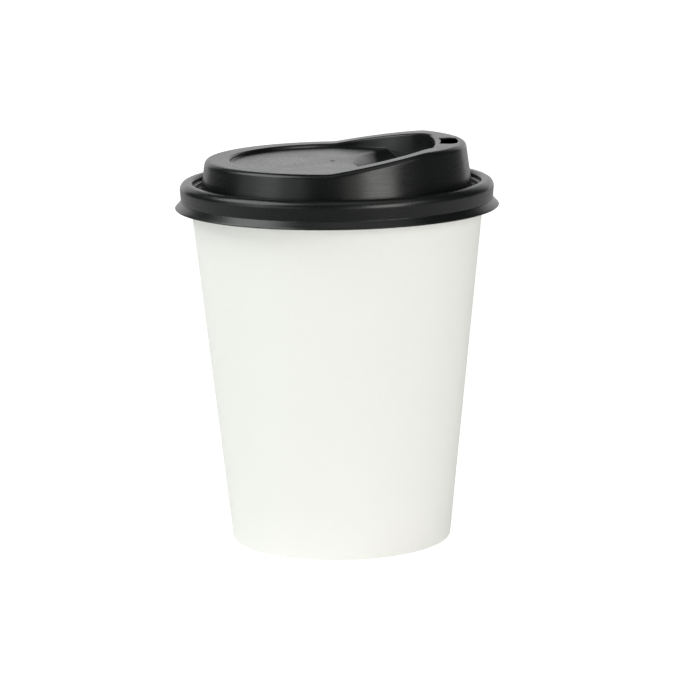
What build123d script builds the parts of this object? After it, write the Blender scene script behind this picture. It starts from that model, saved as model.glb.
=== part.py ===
from build123d import *

import os
from math import atan2, cos, degrees, hypot, radians, sin, tan

# Single-wall paper hot cup with a press-on sip lid, modelled with the lid seated.
# The origin is the middle of the foot, +Z is up and the drinking spout points along +X.

# Cup: the wrapped board
board = 0.4
cup_height = 93.3
foot_radius = 28.5
mouth_radius = 38.2
curl_diameter = 1.85
curl_turn_deg = 285
lap_width = 12.0
lap_azimuth_deg = 100
lap_root_share = 0.75
hem_height = 6.5
hem_bend = 0.1
glue_line = 0.05

# Cup: the bottom disc
base_height = 8.5
base_bend = 0.8

# Lid: the formed sheet and its fits on the rim of the cup
sheet = 0.4
snap_clearance = 0.2
seat_clearance = 0.15
plug_clearance = 0.2

# Lid: skirt, bead and moat
skirt_flare = 1.65
skirt_drop = 6.25
neck_drop = 4.55
neck_bend = 0.2
bead_swell = 0.38
bead_shoulder = 1.5
bead_inner_shoulder = 0.5
ledge_drop = 1.2
ledge_flat = 0.1
ledge_bend = 0.05
moat_drop = 2.5
moat_bend = 0.2
moat_width = 1.5

# Lid: dome, with its rim level at the rear and raised at the spout
dome_draft_deg = 7.8
rear_rise = 6.2
spout_rise = 10.1
incline_start = -1.0
incline_end = 22.6
incline_blend = 15.0
crown_bend = 1.0

# Lid: recess in the top of the dome
rim_width = 6.4
spout_land = 8.25
recess_end_radius = 95.0
recess_corner = 6.0
recess_draft_deg = 6
lip_bend = 0.3
deck_depth = 1.0
deck_bend = 0.3
pocket_depth = 3.8
ramp_start = 4.9
ramp_angle_deg = 32
ramp_crest = 3.0
ramp_foot = 4.0
scoop_radius = 41.0

# Lid: openings
sip_width = 4.4
sip_length = 12.4
sip_setback = 4.2
sip_inner_corner = 0.7
sip_outer_corner = 2.0
vent_diameter = 1.2
vent_setback = 1.0

# How far every cut reaches past what it cuts
overrun = 2.0

# How edges and faces are told apart
pick_margin = 0.05
side_slope_share = 0.5

# Wall of the cup: a cone, measured on its outside
wall_lean = atan2(mouth_radius - foot_radius, cup_height)


def wall_radius(height, depth=0):
    """Radius, at a height, of the surface that lies a depth under the outside of the wall."""
    outside = foot_radius + height * tan(wall_lean)
    return outside - depth / cos(wall_lean)


def wall_point(height, depth):
    """Point of a layer of board in the half section of the cup."""
    return (wall_radius(height, depth), height)


def around(radius, angle_deg):
    """Point in plan at a radius and an angle from the spout."""
    return (radius * cos(radians(angle_deg)), radius * sin(radians(angle_deg)))


def axis_distance(point):
    """Distance of a point from the upright axis of the cup."""
    return hypot(point.X, point.Y)


# Three layers of board meet in the foot: the wall, the flange of the base and the turned-in hem
half_board = board / 2
flange_depth = half_board + board + glue_line
hem_depth = flange_depth + board + glue_line

# The rim is the top of the wall rolled outwards
curl_radius = curl_diameter / 2 - half_board
curl_height = cup_height - curl_diameter / 2
curl_start = wall_point(curl_height + curl_radius * sin(wall_lean), half_board)
curl_middle = curl_start[0] + curl_radius * cos(wall_lean)
rim_radius = curl_middle + curl_diameter / 2

# Lid: half section of the ring, along the middle of the sheet
half_sheet = sheet / 2
neck_radius = rim_radius + snap_clearance + half_sheet
bead_top = cup_height + seat_clearance + half_sheet
ledge_level = cup_height - ledge_drop
ledge_round = ledge_bend + half_sheet
plug_radius = wall_radius(ledge_level, board) - plug_clearance - half_sheet
moat_radius = plug_radius - ledge_flat - 2 * ledge_round
moat_floor = cup_height - moat_drop
dome_radius = moat_radius - half_sheet - moat_width

# Lid: levels of the top
rear_level = cup_height + rear_rise
spout_level = cup_height + spout_rise
deck_level = rear_level - deck_depth
pocket_level = deck_level - pocket_depth


def dome_radius_at(height):
    """Outside radius of the dome's drafted wall at a height."""
    return dome_radius - (height - moat_floor) * tan(radians(dome_draft_deg))


# Lid: places of the recess and the sip hole, from the outside of the dome
recess_radius = dome_radius_at(rear_level) - rim_width
recess_end = dome_radius_at(spout_level) - spout_land
sip_radius = dome_radius_at(spout_level) - sip_setback
sip_angle_deg = degrees(sip_length / sip_radius)


def lap_section(height):
    """Outline of the side seam at one height: a wedge that swells to one board thick at its edge."""
    lap_angle_deg = degrees(lap_width / wall_radius(height))
    start_deg = lap_azimuth_deg - lap_angle_deg
    with BuildSketch(Plane.XY.offset(height)) as section:
        with BuildLine():
            swell = TangentArc(
                around(wall_radius(height, half_board), start_deg),
                around(wall_radius(height, -board), lap_azimuth_deg),
                tangent=around(1, start_deg + 90),
            )
            root_radius = wall_radius(height, board * lap_root_share)
            root = CenterArc((0, 0), root_radius, lap_azimuth_deg, -lap_angle_deg)
            Line(swell @ 1, root @ 0)
            Line(root @ 1, swell @ 0)
        make_face()
    return section.sketch


def recess_form(growth):
    """The hollow in the top of the lid, with its walls and floor moved outwards by a growth."""
    top = spout_level + overrun
    side_growth = growth / cos(radians(recess_draft_deg))
    side_growth += (top - rear_level) * tan(radians(recess_draft_deg))
    deck = deck_level - growth
    pocket = pocket_level - growth
    ramp_end = ramp_start + pocket_depth / tan(radians(ramp_angle_deg))
    scoop_middle = ramp_start + scoop_radius
    rear = -recess_radius - side_growth - overrun
    with BuildPart() as hollow:
        with BuildSketch(Plane.XY.offset(top)) as outline:
            Circle(recess_radius + side_growth)
            with Locations((recess_end - recess_end_radius, 0)):
                Circle(recess_end_radius + side_growth, mode=Mode.INTERSECT)
            fillet(outline.vertices(), radius=recess_corner + side_growth)
        extrude(amount=pocket - top - overrun, taper=recess_draft_deg)
        # The floor turns about an upright axis beyond the spout, so the ramp runs in an arc
        with BuildSketch(Plane.XZ):
            with BuildLine():
                floor = FilletPolyline(
                    (rear, deck),
                    (ramp_start, deck),
                    (ramp_end, pocket),
                    (scoop_middle, pocket),
                    radius=[ramp_crest, ramp_foot],
                )
                Polyline(floor @ 1, (scoop_middle, top + overrun), (rear, top + overrun), floor @ 0)
            make_face()
        revolve(axis=Axis((scoop_middle, 0, 0), (0, 0, 1)), mode=Mode.INTERSECT)
        sides = hollow.faces().filter_by(lambda face: abs(face.normal_at().Z) < side_slope_share)
        foot_edges = sides.edges().filter_by(lambda edge: edge.bounding_box().max.Z < deck + pick_margin)
        fillet(foot_edges, radius=deck_bend + growth)
    return hollow.part


def dome_form(inset, low):
    """The dome as a filled form from a low level up, with its walls and top moved inwards by an inset."""
    side_inset = inset / cos(radians(dome_draft_deg))
    high = spout_level + overrun
    reach = dome_radius + overrun
    rear = rear_level - inset
    spout = spout_level - inset
    recess = recess_form(inset)
    with BuildPart() as form:
        with BuildSketch(Plane.XZ):
            Polygon(
                (0, low),
                (dome_radius_at(low) - side_inset, low),
                (dome_radius_at(high) - side_inset, high),
                (0, high),
                align=None,
            )
        revolve(axis=Axis.Z)
        with BuildSketch(Plane.XZ):
            with BuildLine():
                crown = FilletPolyline(
                    (-reach, rear),
                    (incline_start, rear),
                    (incline_end, spout),
                    (reach, spout),
                    radius=incline_blend,
                )
                Polyline(crown @ 1, (reach, low), (-reach, low), crown @ 0)
            make_face()
        extrude(amount=reach, both=True, mode=Mode.INTERSECT)
        crown_edges = form.edges().filter_by(GeomType.LINE, reverse=True)
        crown_edges = crown_edges.filter_by(lambda edge: edge.bounding_box().min.Z > low + pick_margin)
        fillet(crown_edges, radius=crown_bend + sheet - inset)
        add(recess, mode=Mode.SUBTRACT)
        lip_edges = form.edges().filter_by(GeomType.LINE, reverse=True)
        lip_edges = lip_edges.filter_by(lambda edge: edge.bounding_box().min.Z > rear - pick_margin)
        lip_edges = lip_edges.filter_by(lambda edge: axis_distance(edge @ 0.5) < recess_radius + rim_width / 2)
        fillet(lip_edges, radius=lip_bend + sheet - inset)
    return form.part


os.makedirs("parts", exist_ok=True)

# Side wall: one wrapped board, rolled out at the rim, turned in under the foot and lapped at its seam
with BuildPart() as cup_sidewall:
    with BuildSketch(Plane.XZ):
        with BuildLine():
            FilletPolyline(
                wall_point(hem_height, hem_depth),
                wall_point(half_board, hem_depth),
                wall_point(half_board, half_board),
                curl_start,
                radius=hem_bend + half_board,
            )
            CenterArc((curl_middle, curl_height), curl_radius, 180 - degrees(wall_lean), -curl_turn_deg)
        trace(line_width=board)
    revolve(axis=Axis.Z)
    loft([lap_section(board + hem_bend), lap_section(cup_height - curl_diameter)], ruled=True)

cup_sidewall.part.label = "cup_sidewall"
export_step(cup_sidewall.part, "parts/cup_sidewall.step")

# Base: a disc of board whose flange is turned down and held between the wall and its hem
with BuildPart() as cup_base:
    with BuildSketch(Plane.XZ):
        with BuildLine():
            FilletPolyline(
                (0, base_height),
                wall_point(base_height, flange_depth),
                wall_point(board + hem_bend, flange_depth),
                radius=base_bend + half_board,
            )
        trace(line_width=board)
    revolve(axis=Axis.Z)

cup_base.part.label = "cup_base"
export_step(cup_base.part, "parts/cup_base.step")

# Lid: one formed sheet, from the flared skirt over the bead and the moat to the dome
dome_low = moat_floor - half_sheet
dome_skin = dome_form(0, dome_low)
dome_core = dome_form(sheet, dome_low - overrun)

with BuildPart() as sip_lid:
    with BuildSketch(Plane.XZ):
        with BuildLine():
            FilletPolyline(
                (neck_radius + skirt_flare, cup_height - skirt_drop),
                (neck_radius, cup_height - neck_drop),
                (neck_radius + bead_swell, bead_top),
                (plug_radius, bead_top),
                (plug_radius, ledge_level),
                (moat_radius, ledge_level),
                (moat_radius, moat_floor),
                (dome_radius - half_sheet, moat_floor),
                radius=[
                    neck_bend + half_sheet,
                    bead_shoulder + half_sheet,
                    bead_inner_shoulder + half_sheet,
                    ledge_round,
                    ledge_round,
                    moat_bend + half_sheet,
                ],
            )
        trace(line_width=sheet)
    revolve(axis=Axis.Z)
    add(dome_skin)
    add(dome_core, mode=Mode.SUBTRACT)
    # Sip hole: a short arc-shaped slot through the level land of the spout
    with BuildSketch(Plane.XY.offset(spout_level + overrun)) as sip_outline:
        with BuildLine():
            outer = CenterArc((0, 0), sip_radius + sip_width / 2, -sip_angle_deg / 2, sip_angle_deg)
            inner = CenterArc((0, 0), sip_radius - sip_width / 2, sip_angle_deg / 2, -sip_angle_deg)
            Line(outer @ 1, inner @ 0)
            Line(inner @ 1, outer @ 0)
        make_face()
        fillet(sip_outline.vertices().sort_by(Axis.X)[:2], radius=sip_inner_corner)
        fillet(sip_outline.vertices().sort_by(Axis.X)[-2:], radius=sip_outer_corner)
    extrude(amount=-overrun - sheet - overrun, mode=Mode.SUBTRACT)
    # Vent: a pin hole in the deck
    with Locations((-vent_setback, 0, deck_level)):
        Hole(radius=vent_diameter / 2, depth=sheet + overrun)

sip_lid.part.label = "sip_lid"
export_step(sip_lid.part, "parts/sip_lid.step")
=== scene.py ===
from math import atan2, ceil, copysign, cos, hypot, pi, radians, sin, sqrt, tan

import bmesh
import bpy
from bpy.props import FloatProperty, FloatVectorProperty, IntProperty, PointerProperty
from mathutils import Matrix, Vector


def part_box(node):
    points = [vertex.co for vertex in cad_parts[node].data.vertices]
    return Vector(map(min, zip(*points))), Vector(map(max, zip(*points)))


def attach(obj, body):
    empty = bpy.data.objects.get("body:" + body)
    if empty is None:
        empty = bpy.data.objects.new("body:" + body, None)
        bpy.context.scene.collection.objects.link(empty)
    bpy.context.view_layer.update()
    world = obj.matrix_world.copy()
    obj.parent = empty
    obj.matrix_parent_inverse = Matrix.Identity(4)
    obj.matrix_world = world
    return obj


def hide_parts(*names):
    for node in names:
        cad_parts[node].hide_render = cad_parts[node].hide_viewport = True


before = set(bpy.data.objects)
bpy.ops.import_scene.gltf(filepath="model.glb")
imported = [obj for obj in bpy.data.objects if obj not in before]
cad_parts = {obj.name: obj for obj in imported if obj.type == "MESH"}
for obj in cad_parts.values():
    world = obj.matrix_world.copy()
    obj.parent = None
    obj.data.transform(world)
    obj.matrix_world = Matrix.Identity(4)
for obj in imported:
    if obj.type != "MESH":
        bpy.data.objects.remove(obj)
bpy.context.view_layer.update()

bl_info = {
    "name": "Paper Cup with Sip Lid",
    "version": (1, 0, 0),
    "blender": (4, 5, 0),
    "location": "3D View > Sidebar > Paper Cup",
    "description": "Models the finish of a white paper hot cup with a black press-on sip lid",
    "category": "Add Mesh",
}

# The frame: the origin is the middle of the foot, +Z is up, and the spout of the lid points along +X
MM = 0.001
RIM_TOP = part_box("cup_sidewall")[1].z
LID_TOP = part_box("sip_lid")[1].z

# Points of a mesh that are closer than this become one
MERGE_DISTANCE = 0.001 * MM

# Most values of a noise lie between these two
NOISE_LOW = 0.3
NOISE_HIGH = 0.7

# Colour sockets of a Mix node
COLOUR_A = 6
COLOUR_B = 7
COLOUR_RESULT = 2


def length(name, description, size):
    """A size in metres, shown in the scene's unit of length."""
    return FloatProperty(name=name, description=description, default=size, unit='LENGTH', precision=5)


def angle(name, description, degrees):
    """An angle, written in degrees."""
    return FloatProperty(name=name, description=description, default=radians(degrees), subtype='ANGLE')


def amount(name, description, value):
    """A plain number, such as a roughness or a strength."""
    return FloatProperty(name=name, description=description, default=value, precision=4)


def colour(name, description, value):
    """A colour in linear light."""
    return FloatVectorProperty(
        name=name, description=description, default=value, size=3, subtype='COLOR', min=0.0, max=1.0
    )


def place(name, description, value):
    """A point in the frame, in metres."""
    return FloatVectorProperty(
        name=name, description=description, default=value, size=3, subtype='TRANSLATION'
    )


class CupSizes(bpy.types.PropertyGroup):
    """Sizes of the paper cup."""

    height: length("Height", "From the table to the top of the rolled rim", RIM_TOP)
    foot_radius: length("Foot radius", "Outside of the wall, at the table", 28.5 * MM)
    mouth_radius: length("Mouth radius", "Outside of the wall, at the height of the rim", 38.2 * MM)
    board: length("Board", "Thickness of the board", 0.4 * MM)
    curl: length("Rim roll", "Diameter of the rolled rim", 1.85 * MM)
    curl_turn: angle("Rim turn", "How far the rim is rolled over", 285)
    lap_width: length("Seam width", "Width over which the side seam laps", 12.0 * MM)
    lap_azimuth: angle("Seam azimuth", "Where the edge of the side seam is, counted from the spout", 100)
    lap_edge: length("Seam edge", "Width of the cut edge of the seam, seen from outside", 0.02 * MM)
    hem_height: length("Hem height", "How far the foot of the wall is turned up inside", 6.5 * MM)
    hem_bend: length("Hem bend", "Inner radius of the folds of the foot", 0.1 * MM)
    glue_line: length("Glue line", "Gap between two sealed layers of board", 0.05 * MM)
    base_height: length("Base height", "Height of the bottom disc, at the middle of its board", 8.5 * MM)
    base_bend: length("Base bend", "Inner radius of the turned edge of the bottom disc", 0.8 * MM)

    @property
    def lean(self):
        """How far the wall leans outwards."""
        return atan2(self.mouth_radius - self.foot_radius, self.height)

    @property
    def flange_depth(self):
        """Depth of the flange of the base under the outside of the wall, to the middle of its board."""
        return 1.5 * self.board + self.glue_line

    @property
    def hem_depth(self):
        """Depth of the turned-up hem under the outside of the wall, to the middle of its board."""
        return self.flange_depth + self.board + self.glue_line

    @property
    def curl_radius(self):
        """Radius of the rolled rim, to the middle of its board."""
        return (self.curl - self.board) / 2

    @property
    def curl_start(self):
        """Where the wall runs into the rolled rim, in the half section."""
        low = self.height - self.curl / 2 + self.curl_radius * sin(self.lean)
        return self.wall_point(low, self.board / 2)

    @property
    def curl_middle(self):
        """Centre of the rolled rim, in the half section."""
        return (self.curl_start[0] + self.curl_radius * cos(self.lean), self.height - self.curl / 2)

    @property
    def rim_radius(self):
        """Outside of the rolled rim."""
        return self.curl_middle[0] + self.curl / 2

    def wall_point(self, height, depth):
        """Point of the half section at a height and at a depth under the outside of the wall."""
        outside = self.foot_radius + height * tan(self.lean)
        return (outside - depth / cos(self.lean), height)


class LidSizes(bpy.types.PropertyGroup):
    """Sizes of the lid."""

    sheet: length("Sheet", "Thickness of the formed sheet", 0.4 * MM)
    snap_clearance: length("Neck clearance", "Gap between the neck and the rim", 0.2 * MM)
    seat_clearance: length("Seat clearance", "Gap between the bead and the top of the rim", 0.15 * MM)
    plug_clearance: length("Plug clearance", "Gap between the plug and the inside of the wall", 0.2 * MM)
    skirt_flare: length("Skirt flare", "How far the skirt flares out from the neck", 1.65 * MM)
    skirt_drop: length("Skirt drop", "Edge of the skirt, below the top of the rim", 6.25 * MM)
    neck_drop: length("Neck drop", "Neck, below the top of the rim", 4.55 * MM)
    neck_bend: length("Neck bend", "Inner radius at the neck", 0.2 * MM)
    bead_swell: length("Bead swell", "How far the bead leans out above the neck", 0.38 * MM)
    bead_shoulder: length("Bead shoulder", "Inner radius of the bead's outer shoulder", 1.5 * MM)
    bead_inner_shoulder: length("Bead inner shoulder", "Inner radius of the bead's inner shoulder", 0.5 * MM)
    ledge_drop: length("Ledge drop", "Ledge of the moat, below the top of the rim", 1.2 * MM)
    ledge_flat: length("Ledge flat", "Width of the flat of the ledge", 0.1 * MM)
    ledge_bend: length("Ledge bend", "Inner radius of the bends of the ledge", 0.05 * MM)
    moat_drop: length("Moat drop", "Floor of the moat, below the top of the rim", 2.5 * MM)
    moat_bend: length("Moat bend", "Inner radius at the floor of the moat", 0.2 * MM)
    moat_width: length("Moat width", "Clear width of the moat", 1.5 * MM)
    dome_draft: angle("Dome draft", "How far the wall of the dome leans inwards", 7.8)
    rear_rise: length("Rear rise", "Rear of the dome, above the top of the rim", 6.2 * MM)
    spout_level: length("Spout level", "Height of the top of the spout", LID_TOP)
    incline_start: length("Incline start", "Where the rim of the dome starts to climb, along X", -1.0 * MM)
    incline_end: length("Incline end", "Where the rim of the dome stops climbing, along X", 22.6 * MM)
    incline_blend: length("Incline blend", "Radius at both ends of the climb", 15.0 * MM)
    crown_bend: length("Crown bend", "Inner radius around the top of the dome", 1.0 * MM)
    rim_width: length("Rim width", "From the wall of the dome to the recess, at the rear", 6.4 * MM)
    spout_land: length("Spout land", "From the wall of the dome to the recess, at the spout", 8.25 * MM)
    recess_end_radius: length("Recess end radius", "Radius of the recess's end behind the spout", 95.0 * MM)
    recess_corner: length("Recess corner", "Radius in plan of the recess's two corners", 6.0 * MM)
    recess_draft: angle("Recess draft", "How far the walls of the recess lean", 6)
    lip_bend: length("Lip bend", "Inner radius of the lip of the recess", 0.3 * MM)
    deck_depth: length("Deck depth", "Depth of the deck below the rear of the dome", 1.0 * MM)
    deck_bend: length("Deck bend", "Radius at the foot of the recess's walls", 0.3 * MM)
    pocket_depth: length("Pocket depth", "Depth of the lip pocket below the deck", 3.8 * MM)
    ramp_start: length("Ramp start", "Where the deck falls away to the pocket, along X", 4.9 * MM)
    ramp_angle: angle("Ramp angle", "Slope of the ramp", 32)
    ramp_crest: length("Ramp crest", "Radius at the top of the ramp", 3.0 * MM)
    ramp_foot: length("Ramp foot", "Radius at the foot of the ramp", 4.0 * MM)
    scoop_radius: length("Scoop radius", "Radius in plan of the top of the ramp", 41.0 * MM)
    sip_width: length("Sip hole width", "Width of the sip hole across the land", 4.4 * MM)
    sip_length: length("Sip hole length", "Length of the sip hole around the spout", 12.4 * MM)
    sip_setback: length("Sip hole setback", "From the wall of the dome to the middle of the hole", 4.2 * MM)
    sip_inner_corner: length("Sip hole inner corner", "Radius of the two corners at the recess", 0.7 * MM)
    sip_outer_corner: length("Sip hole outer corner", "Radius of the two corners at the crown", 2.0 * MM)
    vent: length("Vent", "Diameter of the vent", 1.2 * MM)
    vent_setback: length("Vent setback", "How far the vent lies behind the middle", 1.0 * MM)
    edge_round: length("Edge round", "Rounding of the cut edges", 0.06 * MM)


class MeshSettings(bpy.types.PropertyGroup):
    """How finely the pieces are turned."""

    columns: IntProperty(name="Columns", description="Steps of a full turn", default=288, min=24)
    bend_step: angle("Bend step", "Largest turn of one step in a bend of a section", 11)
    sharp_angle: angle("Sharp angle", "Edges that turn more than this get rounded or stay crisp", 50)


class FinishSettings(bpy.types.PropertyGroup):
    """Colours and surfaces."""

    board_white: colour("Board", "Outside of the board", (0.824, 0.824, 0.793))
    board_shade: colour("Board shade", "Thinner places in the board", (0.813, 0.813, 0.781))
    lining_white: colour("Lining", "Coated inside of the board", (0.84, 0.84, 0.80))
    lining_shade: colour("Lining shade", "Thinner places seen through the lining", (0.80, 0.80, 0.75))
    edge_cream: colour("Cut edge", "Bare fibres at the cut edges of the board", (0.74, 0.71, 0.62))
    edge_shade: colour("Cut edge shade", "Gaps between the fibres at the cut edges", (0.62, 0.58, 0.48))
    board_relief: length("Board relief", "Depth of the fibres of the board", 0.05 * MM)
    lid_black: colour("Lid", "Black of the formed sheet", (0.0038, 0.0050, 0.0046))
    lid_grey: colour("Lid grey", "Black of the formed sheet in its cloudy marks", (0.0058, 0.0072, 0.0067))
    lid_smooth: amount("Lid smooth", "Roughness of the smoothest places of the formed sheet", 0.22)
    lid_rough: amount("Lid rough", "Roughness of the roughest places of the formed sheet", 0.33)
    lid_bump: amount("Lid bump", "Strength of the stipple of the formed sheet", 0.09)
    lid_relief: length("Lid relief", "Depth of the stipple of the formed sheet", 0.02 * MM)
    floor_white: colour("Floor", "Floor of the studio", (0.93, 0.93, 0.92))
    floor_shade: colour("Floor shade", "Cloudy places on the floor", (0.9207, 0.9207, 0.9108))


class StageSettings(bpy.types.PropertyGroup):
    """Camera, lights and floor."""

    camera_place: place("Camera place", "Where the camera stands", (0.01647, -0.78059, 0.20243))
    camera_aim: place("Camera aim", "What the camera points at", (0.00091, 0.0, 0.05096))
    camera_roll: angle("Camera roll", "Turn of the camera about its own axis", -0.811)
    camera_lens: FloatProperty(name="Lens", description="Focal length in millimetres", default=160.8)
    light_aim: place("Light aim", "What the soft boxes point at", (0.0, 0.0, 0.095))
    light_distance: length("Light distance", "How far the soft boxes stand off", 1.3)
    floor_size: length("Floor size", "Side of the floor", 2.4)
    floor_glow: amount("Floor glow", "How much the floor glows onto the cup", 0.47)
    seen_glow: amount("Seen glow", "How much the floor glows towards the camera", 0.70)
    sky: amount("Sky", "Strength of the even light from all around", 0.06)
    mirrored_floor: amount("Mirrored floor", "How bright the floor is in reflections", 0.52)
    mirrored_front: amount("Mirrored front", "How bright the near floor is in reflections", 0.20)
    fade_near: length("Fade near", "Where the near floor starts to brighten in reflections, along Y", -0.28)
    fade_far: length("Fade far", "Where the floor is at its full brightness in reflections, along Y", -0.12)
    mirrored_sky: amount("Mirrored sky", "How bright the surroundings are in reflections", 0.05)


class PaperCup(bpy.types.PropertyGroup):
    """All the settings of the cup, its lid and the stage."""

    cup: PointerProperty(type=CupSizes)
    lid: PointerProperty(type=LidSizes)
    mesh: PointerProperty(type=MeshSettings)
    finish: PointerProperty(type=FinishSettings)
    stage: PointerProperty(type=StageSettings)


# Meshes

class SectionPen:
    """Draws the half section of a sheet as a wire in the XZ plane, one stretch after the other."""

    def __init__(self, bm, start, bend_step):
        self.bm = bm
        self.bend_step = bend_step
        self.tip = bm.verts.new((start[0], 0, start[1]))

    def line(self, end, spans):
        """A straight stretch in equal spans."""
        step = (Vector((end[0], 0, end[1])) - self.tip.co) / spans
        for _ in range(spans):
            here = self.tip.co.copy()
            grown = bmesh.ops.extrude_vert_indiv(self.bm, verts=[self.tip])
            self.tip = grown["verts"][0]
            self.tip.co = here + step

    def arc(self, centre, turn):
        """An arc about a centre, with a positive turn from +Z towards +X."""
        steps = ceil(abs(turn) / self.bend_step)
        swung = bmesh.ops.spin(
            self.bm, geom=[self.tip], cent=(centre[0], 0, centre[1]), axis=(0, 1, 0),
            angle=turn, steps=steps,
        )
        self.tip = next(item for item in swung["geom_last"] if isinstance(item, bmesh.types.BMVert))

    def corner(self, corner, following, bend, spans):
        """A straight stretch up to a rounded corner, and the bend that turns it to the following corner."""
        here = Vector((self.tip.co.x, self.tip.co.z))
        corner = Vector(corner)
        inwards = (corner - here).normalized()
        outwards = (Vector(following) - corner).normalized()
        turn = -atan2(inwards.cross(outwards), inwards.dot(outwards))
        bend_start = corner - inwards * bend * tan(abs(turn) / 2)
        self.line(bend_start, spans)
        side = Vector((inwards.y, -inwards.x)) * copysign(bend, turn)
        self.arc(bend_start + side, turn)

    def path(self, corners, bends, spans):
        """Rounded corners with a straight stretch before each, then a last stretch to the end."""
        for index, bend in enumerate(bends):
            self.corner(corners[index], corners[index + 1], bend, spans[index])
        self.line(corners[-1], spans[-1])


def turn_section(bm, columns):
    """Spins a half section into a sheet about the upright axis."""
    bmesh.ops.spin(
        bm, geom=bm.verts[:] + bm.edges[:], cent=(0, 0, 0), axis=(0, 0, 1),
        angle=2 * pi, steps=columns, use_merge=True,
    )
    bmesh.ops.remove_doubles(bm, verts=bm.verts[:], dist=MERGE_DISTANCE)
    bmesh.ops.recalc_face_normals(bm, faces=bm.faces[:])


def make_piece(bm, name, body, node, materials):
    """Turns a finished bmesh into a smooth piece that stands for a node and rides on its body."""
    mesh = bpy.data.meshes.new(name)
    bm.to_mesh(mesh)
    bm.free()
    mesh.shade_smooth()
    for material in materials:
        mesh.materials.append(material)
    piece = bpy.data.objects.new(name, mesh)
    bpy.context.scene.collection.objects.link(piece)
    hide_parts(node)
    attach(piece, body)
    return piece


def thicken(piece, thickness):
    """Gives a sheet its thickness to both sides: slot 1 is its other side and slot 2 its cut edges."""
    shell = piece.modifiers.new("thickness", 'SOLIDIFY')
    shell.thickness = thickness
    shell.offset = 0
    shell.use_even_offset = True
    shell.material_offset = 1
    shell.material_offset_rim = 2


def apply_modifiers(piece):
    """Makes what the modifiers give the piece's own mesh."""
    evaluated = piece.evaluated_get(bpy.context.evaluated_depsgraph_get())
    mesh = bpy.data.meshes.new_from_object(evaluated)
    piece.modifiers.clear()
    piece.data = mesh


def round_edges(piece, width, sharp_angle):
    """Rounds the cut edges a little, and weighs the normals so that flat stretches stay flat."""
    bevel = piece.modifiers.new("edges", 'BEVEL')
    bevel.width = width
    bevel.segments = 2
    bevel.limit_method = 'ANGLE'
    bevel.angle_limit = sharp_angle
    bevel.use_clamp_overlap = True
    piece.modifiers.new("normals", 'WEIGHTED_NORMAL')


def clamp(value):
    """Keeps a share between 0 and 1."""
    return min(1.0, max(0.0, value))


def lap_seam(mesh, cup, columns):
    """Swells the outside of the wall up to the edge of the side seam, where it steps back by one board."""
    low = cup.board
    high = cup.height - cup.curl
    step = 2 * pi / columns
    bm = bmesh.new()
    bm.from_mesh(mesh)
    edge_verts = set()
    for vert in bm.verts:
        middle, height = cup.wall_point(vert.co.z, cup.board / 2)
        radius = hypot(vert.co.x, vert.co.y)
        if not (low < height < high and radius > middle):
            continue
        # Angle that is left up to the edge of the seam
        before = (cup.lap_azimuth - atan2(vert.co.y, vert.co.x)) % (2 * pi)
        lap_angle = cup.lap_width / radius
        if before < lap_angle or 2 * pi - before < step / 2:
            share = 1 - (before if before < lap_angle else 0) / lap_angle
            swollen = radius + cup.board * share ** 2
            vert.co.x *= swollen / radius
            vert.co.y *= swollen / radius
            if share > 1 - step / 2 / lap_angle:
                edge_verts.add(vert)
        elif 2 * pi - before < 1.5 * step:
            # The next column is drawn back to the edge, so that the step is steep
            back = step - cup.lap_edge / radius
            vert.co = Matrix.Rotation(-back, 3, 'Z') @ vert.co
            edge_verts.add(vert)
    for face in bm.faces:
        if all(vert in edge_verts for vert in face.verts):
            face.material_index = 2
    bm.to_mesh(mesh)
    bm.free()


def rounded_ramp(along, start, end, height, low_blend, high_blend):
    """Height of a ramp that climbs from a start to an end, with an arc at its low and at its high end."""
    turn = atan2(height, end - start)
    low_reach = low_blend * tan(turn / 2)
    high_reach = high_blend * tan(turn / 2)
    if along <= start - low_reach:
        return 0.0
    if along < start + low_reach * cos(turn):
        run = along - start + low_reach
        return low_blend - sqrt(low_blend ** 2 - run ** 2)
    if along <= end - high_reach * cos(turn):
        return (along - start) * tan(turn)
    if along < end + high_reach:
        run = end + high_reach - along
        return height - high_blend + sqrt(high_blend ** 2 - run ** 2)
    return height


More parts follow.
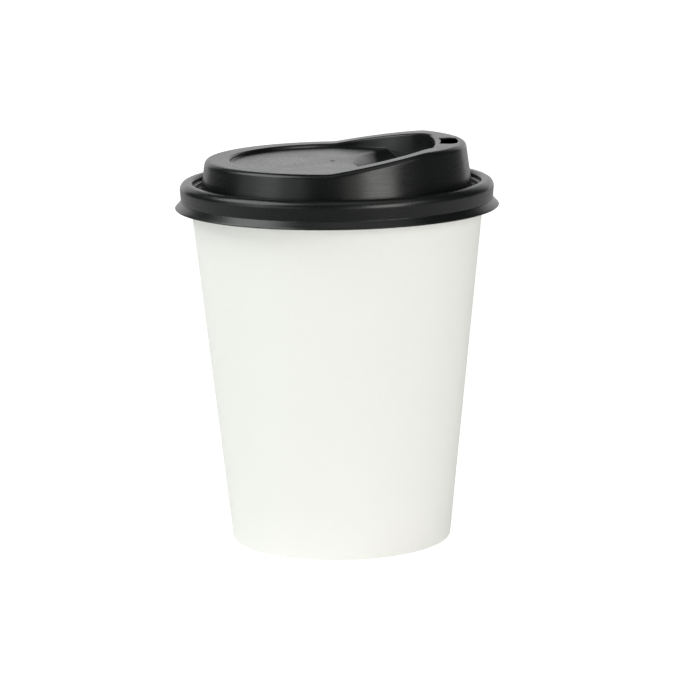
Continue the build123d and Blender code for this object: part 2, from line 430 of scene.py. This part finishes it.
class LidForm:
    """Places along the middle of the lid's sheet, worked out from the lid and the rim that it fits."""

    def __init__(self, cup, lid):
        half = lid.sheet / 2
        self.lid = lid
        neck = cup.rim_radius + lid.snap_clearance + half
        bead_top = cup.height + lid.seat_clearance + half
        ledge = cup.height - lid.ledge_drop
        ledge_round = lid.ledge_bend + half
        plug = cup.wall_point(ledge, cup.board)[0] - lid.plug_clearance - half
        moat = plug - lid.ledge_flat - 2 * ledge_round
        self.moat_floor = cup.height - lid.moat_drop
        self.dome_foot = moat - half - lid.moat_width
        self.side_inset = half / cos(lid.dome_draft)
        self.rear_top = cup.height + lid.rear_rise
        self.rear = self.rear_top - half
        self.deck = self.rear - lid.deck_depth
        self.climb = lid.spout_level - self.rear_top
        self.recess_radius = self.dome_skin(self.rear_top) - lid.rim_width
        self.recess_end = self.dome_skin(lid.spout_level) - lid.spout_land
        self.recess_growth = half / cos(lid.recess_draft)
        self.sip_radius = self.dome_skin(lid.spout_level) - lid.sip_setback
        self.sip_height = lid.spout_level - half

        crown = (self.dome_skin(self.rear) - self.side_inset, self.rear)
        lip = (self.recess_side(self.rear), self.rear)
        foot = (self.recess_side(self.deck), self.deck)
        crown_bend = lid.crown_bend + half
        lip_bend = lid.lip_bend + half
        foot_bend = lid.deck_bend + half
        # How far each bend reaches from its corner
        crown_reach = crown_bend * tan((pi / 2 - lid.dome_draft) / 2)
        lip_reach = lip_bend * tan((pi / 2 - lid.recess_draft) / 2)
        foot_reach = foot_bend * tan((pi / 2 - lid.recess_draft) / 2)
        self.crown_low = self.rear - crown_reach * cos(lid.dome_draft)
        self.crown_side = self.dome_skin(self.crown_low) - self.side_inset
        self.crown_edge = crown[0] - crown_reach
        self.lip_edge = lip[0] + lip_reach
        self.lip_low = self.rear - lip_reach * cos(lid.recess_draft)
        self.foot_high = self.deck + foot_reach * cos(lid.recess_draft)
        self.foot_edge = foot[0] - foot_reach

        # Half section at the rear, from the edge of the skirt to the edge of the vent
        self.start = (neck + lid.skirt_flare, cup.height - lid.skirt_drop)
        self.corners = [
            (neck, cup.height - lid.neck_drop),
            (neck + lid.bead_swell, bead_top),
            (plug, bead_top),
            (plug, ledge),
            (moat, ledge),
            (moat, self.moat_floor),
            (self.dome_foot - self.side_inset, self.moat_floor),
            crown,
            lip,
            foot,
            (lid.vent / 2, self.deck),
        ]
        self.bends = [
            lid.neck_bend + half,
            lid.bead_shoulder + half,
            lid.bead_inner_shoulder + half,
            ledge_round,
            ledge_round,
            lid.moat_bend + half,
            lid.moat_bend + half,
            crown_bend,
            lip_bend,
            foot_bend,
        ]
        # Steps in the straight stretch before each corner
        self.spans = [4, 5, 3, 2, 1, 2, 3, 12, 12, 3, 36]

    def dome_skin(self, height):
        """Outside radius of the dome's wall at a height."""
        return self.dome_foot - (height - self.moat_floor) * tan(self.lid.dome_draft)

    def recess_side(self, height):
        """Radius of the recess's wall at a height, away from the spout."""
        lean = (height - self.rear_top) * tan(self.lid.recess_draft)
        return self.recess_radius + self.recess_growth + lean

    def recess_shift(self, azimuth):
        """How much nearer to the axis the recess's wall is at an azimuth than away from the spout."""
        lid = self.lid
        side = self.recess_radius + self.recess_growth
        end = lid.recess_end_radius + self.recess_growth
        corner = lid.recess_corner + self.recess_growth
        end_x = self.recess_end - lid.recess_end_radius
        # Centre of the corner's arc, which touches the side and the end from inside
        corner_x = (end_x ** 2 + (side - corner) ** 2 - (end - corner) ** 2) / (2 * end_x)
        corner_y = sqrt((side - corner) ** 2 - corner_x ** 2)
        reach = end / hypot(corner_x - end_x, corner_y)
        end_azimuth = atan2(corner_y * reach, end_x + (corner_x - end_x) * reach)
        azimuth = abs(azimuth)
        if azimuth >= atan2(corner_y, corner_x):
            return 0.0
        if azimuth <= end_azimuth:
            radius = end_x * cos(azimuth) + sqrt(end ** 2 - (end_x * sin(azimuth)) ** 2)
        else:
            across = corner_x * sin(azimuth) - corner_y * cos(azimuth)
            radius = corner_x * cos(azimuth) + corner_y * sin(azimuth) + sqrt(corner ** 2 - across ** 2)
        return radius - side

    def rise(self, x):
        """How far the top of the dome has climbed, along X."""
        lid = self.lid
        blend = lid.incline_blend
        return rounded_ramp(x, lid.incline_start, lid.incline_end, self.climb, blend, blend)

    def drop(self, x, y):
        """How far the floor of the recess has fallen below the deck."""
        lid = self.lid
        scoop_middle = lid.ramp_start + lid.scoop_radius
        along = scoop_middle - hypot(scoop_middle - x, y)
        ramp_end = lid.ramp_start + lid.pocket_depth / tan(lid.ramp_angle)
        return rounded_ramp(
            along, lid.ramp_start, ramp_end, lid.pocket_depth, lid.ramp_crest, lid.ramp_foot
        )

    def moved(self, point):
        """Where a point of the spun sheet goes when the spout is raised and the pocket is sunk."""
        lid = self.lid
        radius = hypot(point.x, point.y)
        azimuth = atan2(point.y, point.x)
        outline = self.recess_shift(azimuth)
        shift = 0.0
        lift = 0.0
        # Place and shift depend on each other, and three rounds settle them
        for _ in range(3):
            x = (min(radius, self.crown_side) + shift) * cos(azimuth)
            y = (radius + shift) * sin(azimuth)
            rise = self.rise(x)
            crown_shift = -rise * tan(lid.dome_draft)
            lip_shift = outline + rise * tan(lid.recess_draft)
            if radius >= self.crown_edge:
                top_share = clamp((point.z - self.moat_floor) / (self.crown_low - self.moat_floor))
                shift = crown_shift * top_share
                lift = rise * top_share
            elif radius >= self.lip_edge:
                rim_share = (radius - self.lip_edge) / (self.crown_edge - self.lip_edge)
                shift = lip_shift + (crown_shift - lip_shift) * rim_share
                lift = rise
            else:
                floor_share = clamp((self.lip_low - point.z) / (self.lip_low - self.foot_high))
                lift = rise * (1 - floor_share) - self.drop(x, y) * floor_share
                shift = (outline + lift * tan(lid.recess_draft)) * clamp(radius / self.foot_edge)
        centre_share = clamp((self.foot_edge - radius) / (self.foot_edge - lid.vent / 2))
        x = (radius + shift) * cos(azimuth) - lid.vent_setback * centre_share
        y = (radius + shift) * sin(azimuth)
        return Vector((x, y, point.z + lift))

    def sip_nearest(self, point):
        """Depth of a point inside the outline of the sip hole, and the nearest point of that outline."""
        lid = self.lid
        along = atan2(point.y, point.x) * self.sip_radius
        across = hypot(point.x, point.y) - self.sip_radius
        corner = lid.sip_outer_corner if across > 0 else lid.sip_inner_corner
        core_along = lid.sip_length / 2 - corner
        core_across = lid.sip_width / 2 - corner
        past_along = abs(along) - core_along
        past_across = abs(across) - core_across
        if past_along > 0 and past_across > 0:
            past = hypot(past_along, past_across)
            near_along = core_along + corner * past_along / past
            near_across = core_across + corner * past_across / past
        else:
            past = max(past_along, past_across)
            near_along = core_along + corner if past_along > past_across else abs(along)
            near_across = abs(across) if past_along > past_across else core_across + corner
        azimuth = copysign(near_along, along) / self.sip_radius
        radius = self.sip_radius + copysign(near_across, across)
        nearest = Vector((radius * cos(azimuth), radius * sin(azimuth), self.sip_height))
        return corner - past, nearest


def cut_sip_hole(bm, form):
    """Takes out the faces over the sip hole and draws the edge that is left onto its outline."""
    land = [face for face in bm.faces if face.calc_center_median().x > form.recess_end]
    land = [face for face in land if abs(face.calc_center_median().z - form.sip_height) < form.lid.sheet]
    inside = [face for face in land if form.sip_nearest(face.calc_center_median())[0] > 0]
    rim_verts = {vert for face in inside for vert in face.verts}
    bmesh.ops.delete(bm, geom=inside, context='FACES')
    for vert in rim_verts:
        if vert.is_valid and vert.is_boundary:
            vert.co = form.sip_nearest(vert.co)[1]


# Materials

def add_node(tree, kind, inputs=None, **settings):
    """Adds a node, sets it, and links or sets its inputs."""
    node = tree.nodes.new(kind)
    for key, value in settings.items():
        setattr(node, key, value)
    for key, value in (inputs or {}).items():
        if isinstance(value, bpy.types.NodeSocket):
            tree.links.new(value, node.inputs[key])
        else:
            node.inputs[key].default_value = value
    return node


def noise(tree, vector, scale, detail, roughness=0.5):
    """A cloudy noise between 0 and 1."""
    node = add_node(
        tree, "ShaderNodeTexNoise",
        {"Vector": vector, "Scale": scale, "Detail": detail, "Roughness": roughness},
    )
    return node.outputs["Fac"]


def spread(tree, value, low, high):
    """Spreads the usual range of a noise from a low to a high value."""
    node = add_node(
        tree, "ShaderNodeMapRange",
        {"Value": value, "From Min": NOISE_LOW, "From Max": NOISE_HIGH, "To Min": low, "To Max": high},
    )
    return node.outputs["Result"]


def mix(tree, factor, first, second):
    """A number between two numbers."""
    node = add_node(tree, "ShaderNodeMix", {"Factor": factor, "A": first, "B": second})
    return node.outputs["Result"]


def mix_colours(tree, factor, first, second):
    """A colour between two colours."""
    node = add_node(
        tree, "ShaderNodeMix",
        {"Factor": factor, COLOUR_A: first, COLOUR_B: second},
        data_type='RGBA',
    )
    return node.outputs[COLOUR_RESULT]


def relief(tree, height, strength, depth):
    """The normal of a fine relief."""
    node = add_node(tree, "ShaderNodeBump", {"Strength": strength, "Distance": depth, "Height": height})
    return node.outputs["Normal"]


def start_material(name):
    """A new material with its Principled shader and an Object coordinate."""
    material = bpy.data.materials.new(name)
    material.use_nodes = True
    tree = material.node_tree
    shader = tree.nodes["Principled BSDF"]
    coordinate = add_node(tree, "ShaderNodeTexCoord").outputs["Object"]
    return material, tree, shader, coordinate


def rgba(value):
    """A colour with full cover."""
    return (*value, 1.0)


def board_fibre_group():
    """Cloudy formation and fine fibres of paper board, shared by its outside, lining and cut edges."""
    group = bpy.data.node_groups.new("board_fibres", "ShaderNodeTree")
    group.interface.new_socket("Vector", in_out='INPUT', socket_type='NodeSocketVector')
    group.interface.new_socket("Tone", in_out='OUTPUT', socket_type='NodeSocketFloat')
    group.interface.new_socket("Height", in_out='OUTPUT', socket_type='NodeSocketFloat')
    vector = add_node(group, "NodeGroupInput").outputs["Vector"]
    cloud = noise(group, vector, scale=70.0, detail=3.0)
    formation = noise(group, vector, scale=650.0, detail=4.0, roughness=0.6)
    fibre = noise(group, vector, scale=1500.0, detail=3.0)
    tone = mix(group, 0.55, cloud, formation)
    height = mix(group, 0.5, formation, fibre)
    add_node(group, "NodeGroupOutput", {"Tone": tone, "Height": height})
    return group


def board_material(name, fibres, depth, light, shade, roughness, bump):
    """One face of the board: its two tones, their roughness, and the depth and strength of its fibres."""
    material, tree, shader, coordinate = start_material(name)
    paper = add_node(tree, "ShaderNodeGroup", {"Vector": coordinate}, node_tree=fibres).outputs
    tone = spread(tree, paper["Tone"], 0.0, 1.0)
    white = mix_colours(tree, tone, rgba(shade), rgba(light))
    rough = spread(tree, paper["Tone"], *roughness)
    normal = relief(tree, paper["Height"], bump, depth)
    tree.links.new(white, shader.inputs["Base Color"])
    tree.links.new(rough, shader.inputs["Roughness"])
    tree.links.new(normal, shader.inputs["Normal"])
    return material


def board_materials(finish):
    """Lining, outside and cut edge of the board, in the order of the slots of its pieces."""
    fibres = bpy.data.node_groups.get("board_fibres") or board_fibre_group()
    # Light tone, shade, roughness of the shade and of the light tone, and strength of the fibres
    looks = {
        "lined_board": (finish.lining_white, finish.lining_shade, (0.40, 0.32), 0.02),
        "matt_board": (finish.board_white, finish.board_shade, (0.62, 0.50), 0.12),
        "cut_board": (finish.edge_cream, finish.edge_shade, (0.95, 0.85), 0.5),
    }
    return [
        bpy.data.materials.get(name) or board_material(name, fibres, finish.board_relief, *look)
        for name, look in looks.items()
    ]


def lid_material(finish):
    """Satin black sheet: fine stipple, faint drawing streaks around the axis and cloudy handling marks."""
    material, tree, shader, coordinate = start_material("satin_sheet")
    # Streaks run around the axis: the direction changes slowly, the radius and height fast
    streaks_along = 5.0
    streaks_across = 2200.0
    height_share = 1.7
    flat = add_node(tree, "ShaderNodeVectorMath", {0: coordinate, 1: (1.0, 1.0, 0.0)}, operation='MULTIPLY')
    heading = add_node(tree, "ShaderNodeVectorMath", {0: flat.outputs[0]}, operation='NORMALIZE')
    radius = add_node(tree, "ShaderNodeVectorMath", {0: flat.outputs[0]}, operation='LENGTH')
    parts = add_node(tree, "ShaderNodeSeparateXYZ", {"Vector": coordinate})
    profile = add_node(
        tree, "ShaderNodeMath",
        {0: parts.outputs["Z"], 1: height_share, 2: radius.outputs["Value"]},
        operation='MULTIPLY_ADD',
    )
    across = add_node(
        tree, "ShaderNodeMath", {0: profile.outputs[0], 1: streaks_across}, operation='MULTIPLY'
    )
    along = add_node(
        tree, "ShaderNodeVectorMath", {0: heading.outputs[0], "Scale": streaks_along}, operation='SCALE'
    )
    along_parts = add_node(tree, "ShaderNodeSeparateXYZ", {"Vector": along.outputs[0]})
    streak_place = add_node(
        tree, "ShaderNodeCombineXYZ",
        {"X": along_parts.outputs["X"], "Y": along_parts.outputs["Y"], "Z": across.outputs[0]},
    )
    streak = noise(tree, streak_place.outputs[0], scale=1.0, detail=3.0)
    smudge = noise(tree, coordinate, scale=85.0, detail=4.0, roughness=0.6)
    stipple = noise(tree, coordinate, scale=5200.0, detail=2.0)
    wear = mix(tree, 0.5, streak, smudge)
    grain = mix(tree, 0.35, stipple, streak)
    black = mix_colours(tree, smudge, rgba(finish.lid_black), rgba(finish.lid_grey))
    rough = spread(tree, wear, finish.lid_smooth, finish.lid_rough)
    normal = relief(tree, grain, finish.lid_bump, finish.lid_relief)
    tree.links.new(black, shader.inputs["Base Color"])
    tree.links.new(rough, shader.inputs["Roughness"])
    tree.links.new(normal, shader.inputs["Normal"])
    return material


def floor_material(finish, stage):
    """Pale matt floor that melts into the white of the studio."""
    material, tree, shader, coordinate = start_material("studio_floor")
    cloud = noise(tree, coordinate, scale=3.0, detail=2.0)
    pale = mix_colours(tree, cloud, rgba(finish.floor_white), rgba(finish.floor_shade))
    # White to the camera, and dimmer in reflections, most of all on the camera's side
    path = add_node(tree, "ShaderNodeLightPath").outputs
    parts = add_node(tree, "ShaderNodeSeparateXYZ", {"Vector": coordinate})
    mirrored = add_node(
        tree, "ShaderNodeMapRange",
        {"Value": parts.outputs["Y"], "From Min": stage.fade_near, "From Max": stage.fade_far,
         "To Min": stage.mirrored_front, "To Max": stage.mirrored_floor},
    )
    seen = mix(tree, path["Is Camera Ray"], stage.floor_glow, stage.seen_glow)
    glow = mix(tree, path["Is Glossy Ray"], seen, mirrored.outputs["Result"])
    base = mix_colours(tree, path["Is Glossy Ray"], pale, rgba((0.0, 0.0, 0.0)))
    tree.links.new(base, shader.inputs["Base Color"])
    tree.links.new(glow, shader.inputs["Emission Strength"])
    shader.inputs["Roughness"].default_value = 0.9
    shader.inputs["Emission Color"].default_value = rgba(finish.floor_white)
    return material


# Operators

class CUP_OT_sidewall(bpy.types.Operator):
    """Turn the wrapped wall of the cup, with its rolled rim, folded foot and side seam"""

    bl_idname = "paper_cup.sidewall"
    bl_label = "Side Wall"

    def execute(self, context):
        settings = context.scene.paper_cup
        cup = settings.cup
        half = cup.board / 2
        bend = cup.hem_bend + half
        bm = bmesh.new()
        pen = SectionPen(bm, cup.wall_point(cup.hem_height, cup.hem_depth), settings.mesh.bend_step)
        corners = [
            cup.wall_point(half, cup.hem_depth),
            cup.wall_point(half, half),
            cup.curl_start,
        ]
        # Steps in the hem, under the foot and up the wall
        spans = [6, 2, 28]
        pen.path(corners, [bend, bend], spans)
        pen.arc(cup.curl_middle, cup.curl_turn)
        turn_section(bm, settings.mesh.columns)
        materials = board_materials(settings.finish)
        wall = make_piece(bm, "wall_board", "cup", "cup_sidewall", materials)
        thicken(wall, cup.board)
        apply_modifiers(wall)
        lap_seam(wall.data, cup, settings.mesh.columns)
        wall.data.set_sharp_from_angle(angle=settings.mesh.sharp_angle)
        wall.modifiers.new("normals", 'WEIGHTED_NORMAL').keep_sharp = True
        return {'FINISHED'}


class CUP_OT_base(bpy.types.Operator):
    """Turn the bottom disc of the cup with its flange"""

    bl_idname = "paper_cup.base"
    bl_label = "Base"

    def execute(self, context):
        settings = context.scene.paper_cup
        cup = settings.cup
        bm = bmesh.new()
        pen = SectionPen(bm, (0, cup.base_height), settings.mesh.bend_step)
        corners = [
            cup.wall_point(cup.base_height, cup.flange_depth),
            cup.wall_point(cup.board + cup.hem_bend, cup.flange_depth),
        ]
        # Steps across the disc and down the flange
        spans = [24, 6]
        pen.path(corners, [cup.base_bend + cup.board / 2], spans)
        turn_section(bm, settings.mesh.columns)
        materials = board_materials(settings.finish)
        base = make_piece(bm, "base_board", "cup", "cup_base", materials)
        thicken(base, cup.board)
        apply_modifiers(base)
        base.data.set_sharp_from_angle(angle=settings.mesh.sharp_angle)
        base.modifiers.new("normals", 'WEIGHTED_NORMAL').keep_sharp = True
        return {'FINISHED'}


class CUP_OT_lid(bpy.types.Operator):
    """Turn the lid, raise its spout, sink its lip pocket and cut the sip hole"""

    bl_idname = "paper_cup.lid"
    bl_label = "Sip Lid"

    def execute(self, context):
        settings = context.scene.paper_cup
        form = LidForm(settings.cup, settings.lid)
        bm = bmesh.new()
        pen = SectionPen(bm, form.start, settings.mesh.bend_step)
        pen.path(form.corners, form.bends, form.spans)
        turn_section(bm, settings.mesh.columns)
        for vert in bm.verts:
            if hypot(vert.co.x, vert.co.y) < form.dome_foot and vert.co.z > form.moat_floor:
                vert.co = form.moved(vert.co)
        cut_sip_hole(bm, form)
        material = lid_material(settings.finish)
        lid = make_piece(bm, "lid_sheet", "lid", "sip_lid", [material])
        thicken(lid, settings.lid.sheet)
        round_edges(lid, settings.lid.edge_round, settings.mesh.sharp_angle)
        return {'FINISHED'}


def soft_light(stage, name, azimuth, elevation, size, radiance, tint):
    """A soft box that faces the lid, placed by its angles from the camera's side and from the horizon."""
    heading = Matrix.Rotation(radians(azimuth), 3, 'Z') @ Matrix.Rotation(radians(-elevation), 3, 'X')
    spot = Vector(stage.light_aim) + heading @ Vector((0.0, -stage.light_distance, 0.0))
    light = bpy.data.lights.new(name, 'AREA')
    light.shape = 'RECTANGLE'
    light.size, light.size_y = size
    light.energy = radiance * pi * light.size * light.size_y
    light.color = tint
    lamp = bpy.data.objects.new(name, light)
    lamp.location = spot
    lamp.rotation_euler = (Vector(stage.light_aim) - spot).to_track_quat('-Z', 'Y').to_euler()
    lamp.visible_camera = False
    bpy.context.scene.collection.objects.link(lamp)


def white_world(stage):
    """Even light from all around, dim in reflections and white to the camera."""
    world = bpy.data.worlds.new("studio_white")
    bpy.context.scene.world = world
    world.use_nodes = True
    tree = world.node_tree
    path = add_node(tree, "ShaderNodeLightPath").outputs
    around = mix(tree, path["Is Glossy Ray"], stage.sky, stage.mirrored_sky)
    strength = mix(tree, path["Is Camera Ray"], around, 1.0)
    background = tree.nodes["Background"]
    background.inputs["Color"].default_value = rgba((1.0, 1.0, 1.0))
    tree.links.new(strength, background.inputs["Strength"])


class CUP_OT_stage(bpy.types.Operator):
    """Lay the pale floor and set the camera and the soft lights"""

    bl_idname = "paper_cup.stage"
    bl_label = "Stage"

    def execute(self, context):
        settings = context.scene.paper_cup
        stage = settings.stage
        scene = context.scene

        bm = bmesh.new()
        bmesh.ops.create_grid(bm, x_segments=8, y_segments=8, size=stage.floor_size / 2)
        mesh = bpy.data.meshes.new("floor")
        bm.to_mesh(mesh)
        bm.free()
        mesh.materials.append(floor_material(settings.finish, stage))
        floor = bpy.data.objects.new("floor", mesh)
        scene.collection.objects.link(floor)

        camera = bpy.data.cameras.new("camera")
        camera.lens = stage.camera_lens
        view = bpy.data.objects.new("camera", camera)
        forward = Vector(stage.camera_aim) - Vector(stage.camera_place)
        turned = forward.to_track_quat('-Z', 'Y').to_matrix().to_4x4()
        turned = turned @ Matrix.Rotation(stage.camera_roll, 4, 'Z')
        view.matrix_world = Matrix.Translation(stage.camera_place) @ turned
        scene.collection.objects.link(view)
        scene.camera = view

        # Azimuth, elevation, size, radiance and tint
        boxes = {
            "right_softbox": (38, 11, (0.6, 0.9), 4.2, (1.0, 0.99, 0.96)),
            "right_front": (18, 4, (0.5, 0.5), 0.8, (1.0, 0.99, 0.94)),
            "right_high": (60, 28, (0.5, 0.5), 1.3, (0.98, 1.0, 0.98)),
            "right_top": (50, 70, (1.0, 1.0), 0.55, (1.0, 1.0, 1.0)),
            "left_softbox": (-80, 46, (1.1, 0.9), 3.6, (0.98, 1.0, 0.99)),
            "left_low": (-59, 6, (0.5, 0.7), 0.95, (0.94, 1.0, 0.99)),
            "left_wide": (-57, 6, (1.6, 0.7), 0.75, (0.94, 1.0, 0.99)),
            "back_sweep": (180, 9, (1.95, 0.92), 0.87, (0.99, 1.0, 0.99)),
        }
        for name, box in boxes.items():
            soft_light(stage, name, *box)
        white_world(stage)
        scene.view_settings.view_transform = 'Standard'
        return {'FINISHED'}


class CUP_PT_panel(bpy.types.Panel):
    """The pieces of the paper cup, in the order in which they are made"""

    bl_idname = "CUP_PT_panel"
    bl_label = "Paper Cup"
    bl_space_type = 'VIEW_3D'
    bl_region_type = 'UI'
    bl_category = "Paper Cup"

    def draw(self, context):
        for operator in OPERATORS:
            self.layout.operator(operator.bl_idname)


OPERATORS = (CUP_OT_sidewall, CUP_OT_base, CUP_OT_lid, CUP_OT_stage)
SETTINGS = (CupSizes, LidSizes, MeshSettings, FinishSettings, StageSettings, PaperCup)
CLASSES = SETTINGS + OPERATORS + (CUP_PT_panel,)


def register():
    for cls in CLASSES:
        bpy.utils.register_class(cls)
    bpy.types.Scene.paper_cup = PointerProperty(type=PaperCup)


def unregister():
    del bpy.types.Scene.paper_cup
    for cls in reversed(CLASSES):
        bpy.utils.unregister_class(cls)


def main():
    """Builds every piece and the stage."""
    register()
    bpy.ops.paper_cup.sidewall()
    bpy.ops.paper_cup.base()
    bpy.ops.paper_cup.lid()
    bpy.ops.paper_cup.stage()


if __name__ == "__main__":
    main()
